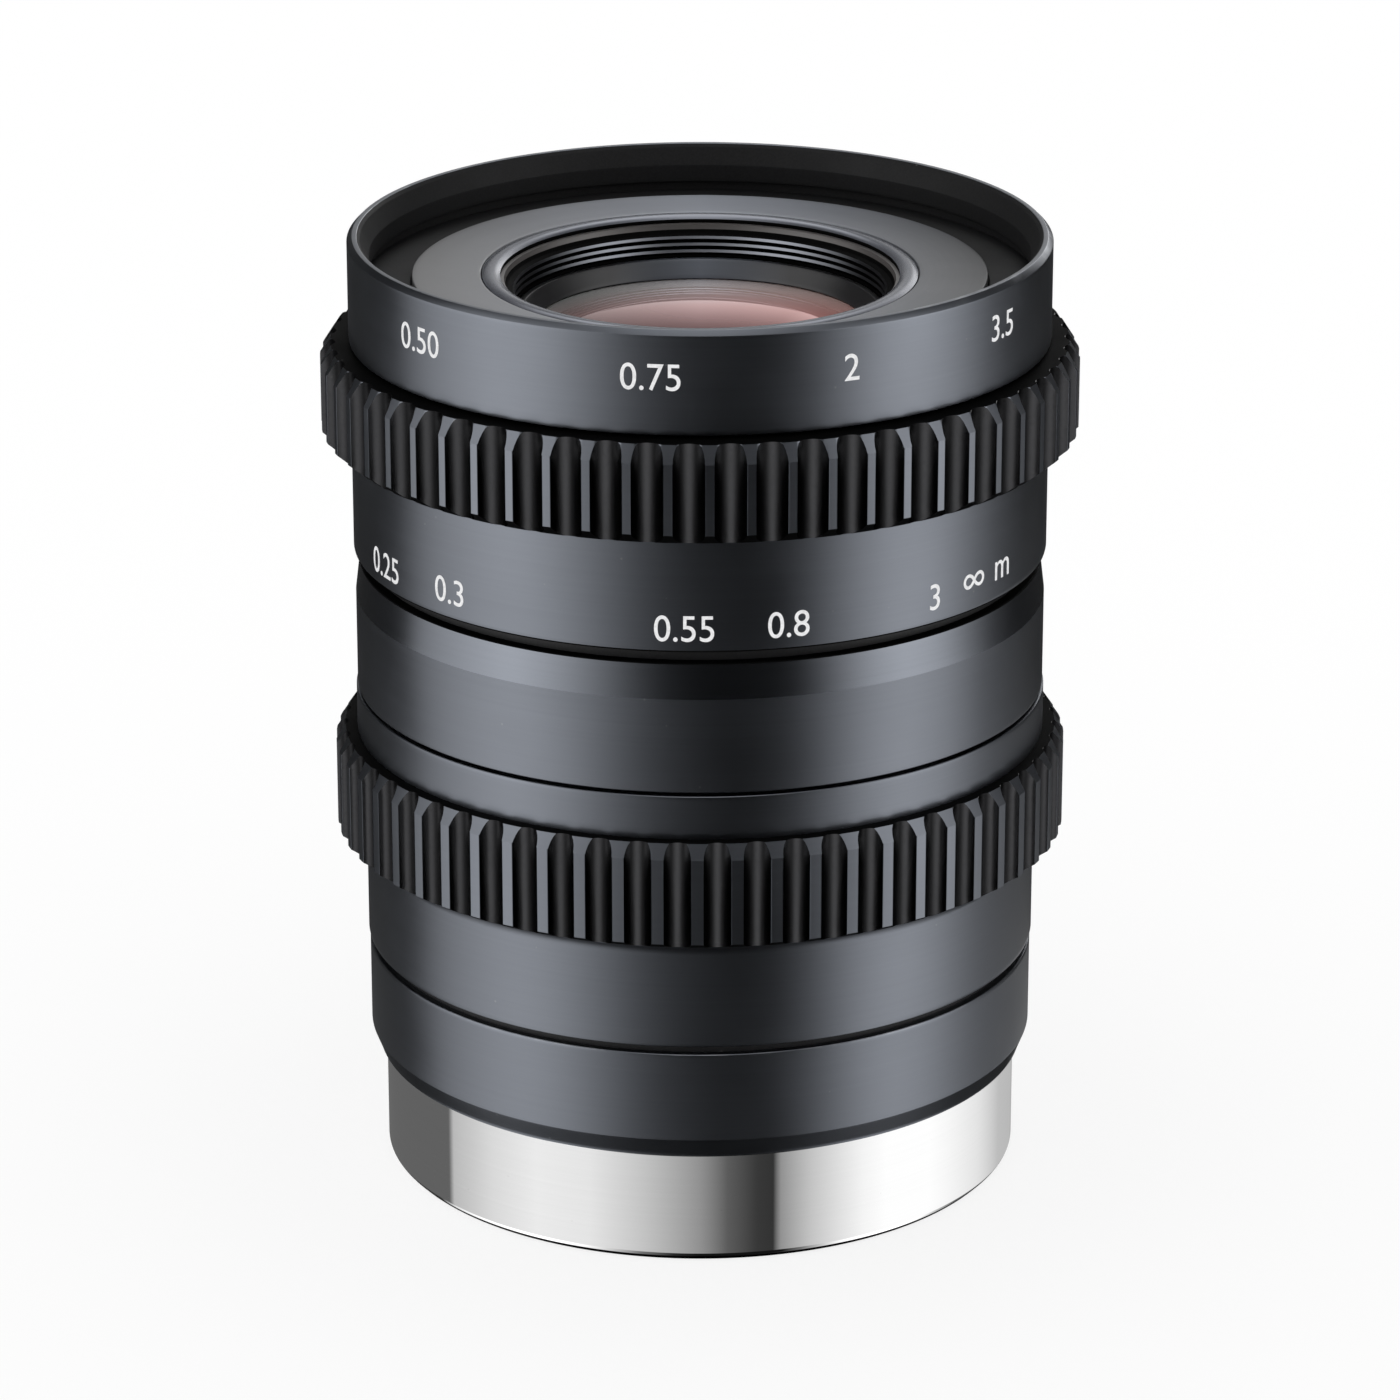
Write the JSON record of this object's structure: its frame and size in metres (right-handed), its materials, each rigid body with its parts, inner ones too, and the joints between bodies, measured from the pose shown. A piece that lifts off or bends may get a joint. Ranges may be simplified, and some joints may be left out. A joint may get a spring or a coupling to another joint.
{
  "type": "machine vision lens",
  "caption": "Fixed focus-length camera lens with threaded mount, fluted iris and focus rings, scale, recessed front glass and working leaf iris.",
  "frame": {"origin": "centre of the mount's seating face, where the bright thread meets the black barrel", "axes": "+Z along the optical axis, towards the front glass; -Y towards the side with the mid-scale numbers"},
  "size_m": [0.0296, 0.0296, 0.038],
  "materials": {
    "mount_chrome": "bright polished plating",
    "barrel_black": "satin black anodising",
    "grip_black": "satin black anodising on fluted grips",
    "recess_black": "matt black anodising",
    "ring_grey": "fine matt grey anodising",
    "cell_grey": "satin dark grey anodising",
    "inner_black": "matt black anodising",
    "front_glass": "coated glass with a pink and green reflection",
    "inner_glass": "clear coated glass",
    "blade_steel": "blackened spring steel",
    "pin_steel": "ground steel",
    "pin_brass": "turned brass",
    "washer_black": "black low-friction plastic"
  },
  "bodies": {
    "barrel": {"mount_ring": "mount_chrome", "rear_barrel": "barrel_black", "main_barrel": "barrel_black", "iris_washer": "washer_black", "focus_washer": "washer_black", "focus_snap_ring": "blade_steel"},
    "iris_ring": {"iris_ring": "grip_black", "iris_drive_pin": "pin_steel"},
    "focus_ring": {"focus_ring": "grip_black"},
    "optical_unit": {"optical_barrel": "inner_black", "cam_follower_pins": "pin_brass", "front_barrel": "recess_black", "name_ring": "ring_grey", "front_cell": "cell_grey", "front_retaining_ring": "inner_black", "lens_element_1": "front_glass", "front_spacer": "inner_black", "lens_element_2": "inner_glass", "lens_element_3": "inner_glass", "iris_spacer": "inner_black", "iris_plate": "inner_black", "rear_cell": "inner_black", "stop_retaining_ring": "inner_black", "lens_element_4": "inner_glass", "lens_element_5": "inner_glass", "lens_element_6": "inner_glass", "rear_spacer": "inner_black", "lens_element_7": "inner_glass", "rear_retaining_ring": "inner_black"},
    "iris_cam": {"iris_cam_ring": "blade_steel", "iris_fork": "blade_steel", "iris_fork_screws": "pin_steel"},
    "iris_blade_1": {"iris_blade_1": "blade_steel", "iris_blade_pins_1": "pin_steel"},
    "iris_blade_2": {"iris_blade_2": "blade_steel", "iris_blade_pins_2": "pin_steel"},
    "iris_blade_3": {"iris_blade_3": "blade_steel", "iris_blade_pins_3": "pin_steel"},
    "iris_blade_4": {"iris_blade_4": "blade_steel", "iris_blade_pins_4": "pin_steel"},
    "iris_blade_5": {"iris_blade_5": "blade_steel", "iris_blade_pins_5": "pin_steel"},
    "iris_blade_6": {"iris_blade_6": "blade_steel", "iris_blade_pins_6": "pin_steel"}
  },
  "joints": [
    {"name": "focus_turn", "type": "hinge", "parent": "barrel", "child": "focus_ring", "pos_m": [0, 0, 0.025], "axis": [0, 0, 1], "range_deg": [0, 118.5]},
    {"name": "focus_slide", "type": "slide", "parent": "barrel", "child": "optical_unit", "axis": [0, 0, 1], "range_m": [0, 0.00278]},
    {"name": "iris_turn", "type": "hinge", "parent": "barrel", "child": "iris_ring", "pos_m": [0, 0, 0.01], "axis": [0, 0, 1], "range_deg": [0, 40]},
    {"name": "iris_cam_turn", "type": "hinge", "parent": "optical_unit", "child": "iris_cam", "pos_m": [0, 0, 0.0176], "axis": [0, 0, 1], "range_deg": [0, 40]},
    {"name": "iris_blade_1_swing", "type": "hinge", "parent": "optical_unit", "child": "iris_blade_1", "pos_m": [0.00893, 0.00325, 0.019], "axis": [0, 0, 1], "range_deg": [0, 27.8]},
    {"name": "iris_blade_2_swing", "type": "hinge", "parent": "optical_unit", "child": "iris_blade_2", "pos_m": [0.00165, 0.00936, 0.019], "axis": [0, 0, 1], "range_deg": [0, 27.8]},
    {"name": "iris_blade_3_swing", "type": "hinge", "parent": "optical_unit", "child": "iris_blade_3", "pos_m": [-0.00728, 0.00611, 0.019], "axis": [0, 0, 1], "range_deg": [0, 27.8]},
    {"name": "iris_blade_4_swing", "type": "hinge", "parent": "optical_unit", "child": "iris_blade_4", "pos_m": [-0.00893, -0.00325, 0.019], "axis": [0, 0, 1], "range_deg": [0, 27.8]},
    {"name": "iris_blade_5_swing", "type": "hinge", "parent": "optical_unit", "child": "iris_blade_5", "pos_m": [-0.00165, -0.00936, 0.019], "axis": [0, 0, 1], "range_deg": [0, 27.8]},
    {"name": "iris_blade_6_swing", "type": "hinge", "parent": "optical_unit", "child": "iris_blade_6", "pos_m": [0.00728, -0.00611, 0.019], "axis": [0, 0, 1], "range_deg": [0, 27.8]}
  ],
  "couplings": [
    {"joint": "focus_turn", "follows": "focus_slide", "rad_per_m": 743.96},
    {"joint": "iris_cam_turn", "follows": "iris_turn", "ratio": 1},
    {"joint": "iris_blade_1_swing", "follows": "iris_turn", "ratio": 0.695},
    {"joint": "iris_blade_2_swing", "follows": "iris_turn", "ratio": 0.695},
    {"joint": "iris_blade_3_swing", "follows": "iris_turn", "ratio": 0.695},
    {"joint": "iris_blade_4_swing", "follows": "iris_turn", "ratio": 0.695},
    {"joint": "iris_blade_5_swing", "follows": "iris_turn", "ratio": 0.695},
    {"joint": "iris_blade_6_swing", "follows": "iris_turn", "ratio": 0.695}
  ]
}
